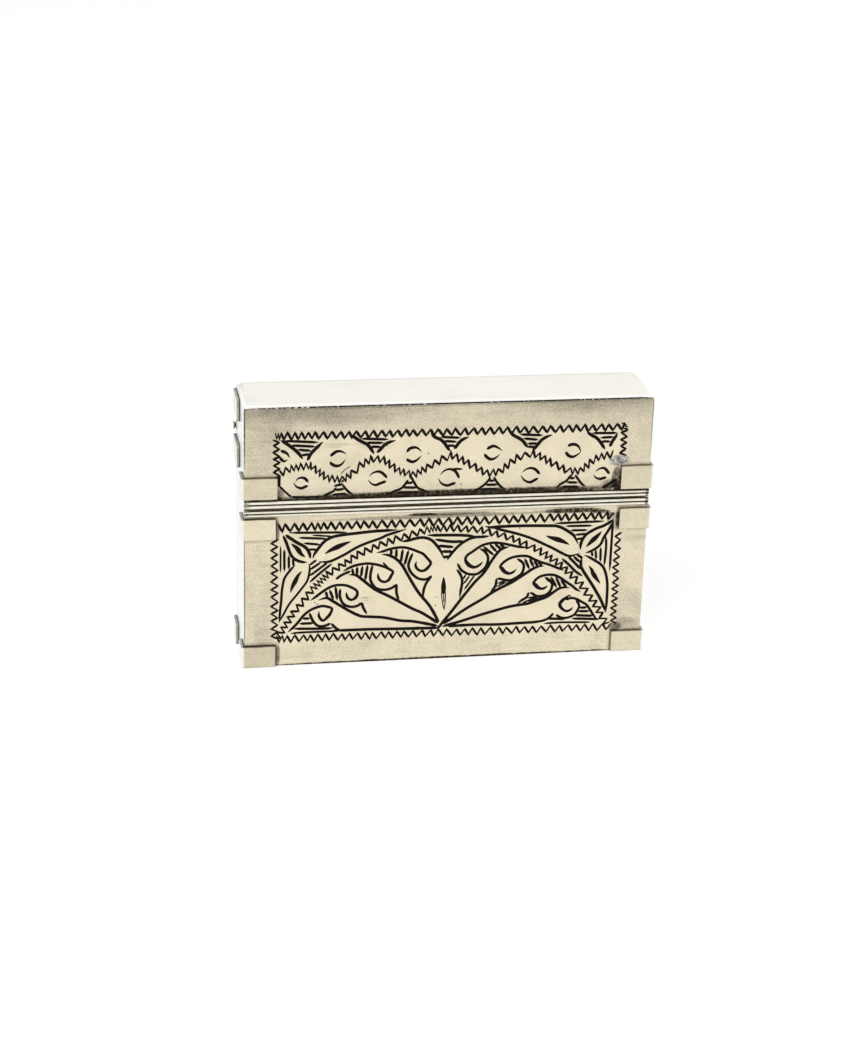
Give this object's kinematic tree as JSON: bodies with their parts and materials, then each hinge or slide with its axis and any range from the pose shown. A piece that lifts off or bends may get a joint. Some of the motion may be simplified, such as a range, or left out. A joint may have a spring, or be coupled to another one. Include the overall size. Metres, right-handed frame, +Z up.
{
  "type": "cigarette pack case",
  "caption": "Flat hinged silver case for a slim cigarette pack, with engraved front, reeded rim, folded corner straps and a lid that tips back.",
  "frame": {"origin": "centre of the overall box's base, on the surface that the case stands on", "axes": "+X along the case's length, to the right as seen from the front; -Y out of the engraved front, so the hinge is on the +Y side; +Z up"},
  "size_m": [0.0966, 0.0216, 0.0642],
  "materials": {
    "engraved_silver": "worn brushed warm silver with black oxidised wriggle cuts",
    "plain_silver": "worn brushed warm silver with fine scratches",
    "fittings_silver": "brighter rubbed silver with darker solder edges",
    "inside_silver": "dull unpolished silver"
  },
  "bodies": {
    "case_body": {"body_front_panel": "engraved_silver", "body_back_panel": "plain_silver", "body_wrap_strip": "plain_silver", "body_rim_moulding": "fittings_silver", "body_front_upper_strap_left": "fittings_silver", "body_front_upper_strap_right": "fittings_silver", "body_front_lower_strap_left": "fittings_silver", "body_front_lower_strap_right": "fittings_silver", "body_back_upper_strap_left": "fittings_silver", "body_back_upper_strap_right": "fittings_silver", "body_back_lower_strap_left": "fittings_silver", "body_back_lower_strap_right": "fittings_silver", "front_flange": "inside_silver", "left_flange": "inside_silver", "right_flange": "inside_silver", "body_knuckle_left": "fittings_silver", "body_knuckle_middle": "fittings_silver", "body_knuckle_right": "fittings_silver", "hinge_pin": "fittings_silver"},
    "lid": {"lid_front_panel": "engraved_silver", "lid_back_panel": "plain_silver", "lid_wrap_strip": "plain_silver", "lid_rim_moulding": "fittings_silver", "lid_front_strap_left": "fittings_silver", "lid_front_strap_right": "fittings_silver", "lid_back_strap_left": "fittings_silver", "lid_back_strap_right": "fittings_silver", "lid_knuckle_left": "fittings_silver", "lid_knuckle_right": "fittings_silver"}
  },
  "joints": [
    {"name": "lid_hinge", "type": "hinge", "parent": "case_body", "child": "lid", "pos_m": [0, 0.00962, 0.0532], "axis": [-1, 0, 0], "range_deg": [0, 180]}
  ]
}
